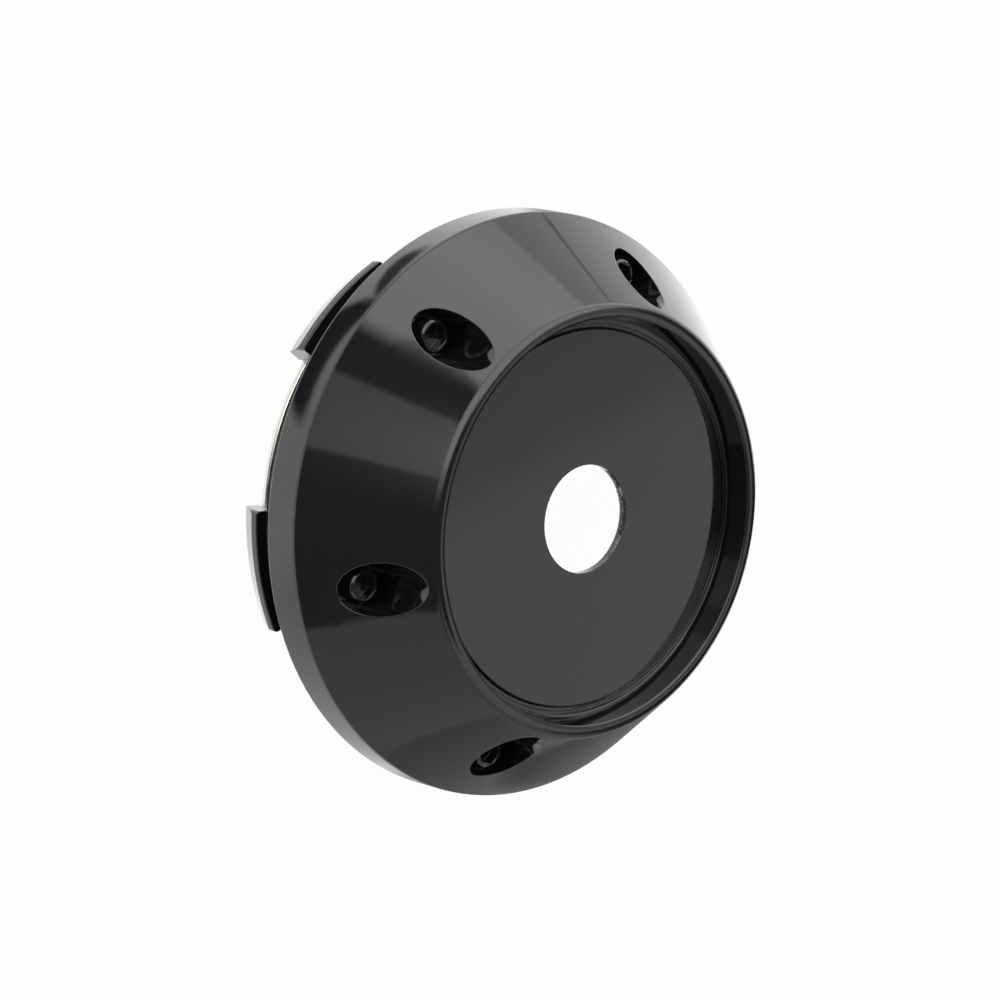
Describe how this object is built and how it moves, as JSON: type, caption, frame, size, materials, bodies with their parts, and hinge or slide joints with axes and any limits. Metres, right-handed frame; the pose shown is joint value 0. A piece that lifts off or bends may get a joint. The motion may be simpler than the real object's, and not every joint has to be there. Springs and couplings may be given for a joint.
{
  "type": "wheel centre cap",
  "caption": "Black plastic centre cap with a conical flank, a bare badge recess with a hole, small bolt pockets, snap clips and a steel retaining ring.",
  "frame": {"origin": "on the cap's axis, level with the ends of the snap clips", "axes": "+Z along the axis, out of the wheel through the badge recess; +X through the middle of one bolt pocket and its clip"},
  "size_m": [0.09, 0.09, 0.0341],
  "materials": {
    "gloss_black": "glossy black as moulded",
    "spring_steel": "bright drawn wire"
  },
  "bodies": {
    "root": {"cap": "gloss_black", "retaining_ring": "spring_steel"}
  },
  "joints": []
}
